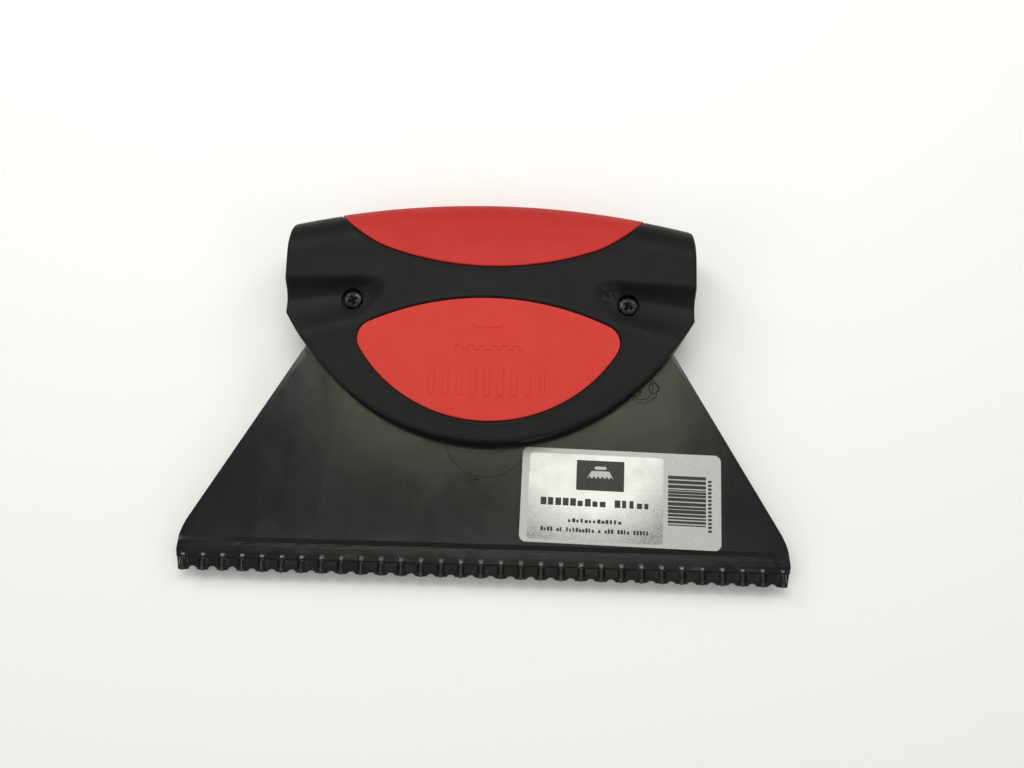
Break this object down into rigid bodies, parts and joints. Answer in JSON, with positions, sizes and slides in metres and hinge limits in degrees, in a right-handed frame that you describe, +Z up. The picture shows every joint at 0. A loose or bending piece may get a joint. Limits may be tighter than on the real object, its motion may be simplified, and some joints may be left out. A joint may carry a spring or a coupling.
{
  "type": "notched trowel",
  "caption": "Wide notched adhesive trowel: black plastic blade edged with hard metal pins, and a two-shell handle with a round grip and red soft pads.",
  "frame": {"origin": "on the surface that the tool lies on, under the middle of its bounding box", "axes": "+X along the toothed edge, +Y from the teeth towards the grip, +Z up, out of the tool's front"},
  "size_m": [0.28, 0.1812, 0.0361],
  "materials": {
    "blade_plastic": "semi-gloss moulded black plastic",
    "handle_plastic": "fine matt grain",
    "red_grip": "matt soft-touch overmould",
    "pin_carbide": "ground hard metal",
    "screw_black": "black zinc, slightly glossy",
    "label_foil": "silvery foil label"
  },
  "bodies": {
    "root": {"blade": "blade_plastic", "handle_front_shell": "handle_plastic", "handle_rear_shell": "handle_plastic", "front_grip_crescent": "red_grip", "front_lens_pad": "red_grip", "rear_grip_crescent": "red_grip", "rear_lens_pad": "red_grip", "handle_screws": "screw_black", "label": "label_foil", "pin_01": "pin_carbide", "pin_02": "pin_carbide", "pin_03": "pin_carbide", "pin_04": "pin_carbide", "pin_05": "pin_carbide", "pin_06": "pin_carbide", "pin_07": "pin_carbide", "pin_08": "pin_carbide", "pin_09": "pin_carbide", "pin_10": "pin_carbide", "pin_11": "pin_carbide", "pin_12": "pin_carbide", "pin_13": "pin_carbide", "pin_14": "pin_carbide", "pin_15": "pin_carbide", "pin_16": "pin_carbide", "pin_17": "pin_carbide", "pin_18": "pin_carbide", "pin_19": "pin_carbide", "pin_20": "pin_carbide", "pin_21": "pin_carbide", "pin_22": "pin_carbide", "pin_23": "pin_carbide", "pin_24": "pin_carbide", "pin_25": "pin_carbide", "pin_26": "pin_carbide", "pin_27": "pin_carbide", "pin_28": "pin_carbide", "pin_29": "pin_carbide", "pin_30": "pin_carbide", "pin_31": "pin_carbide"}
  },
  "joints": []
}
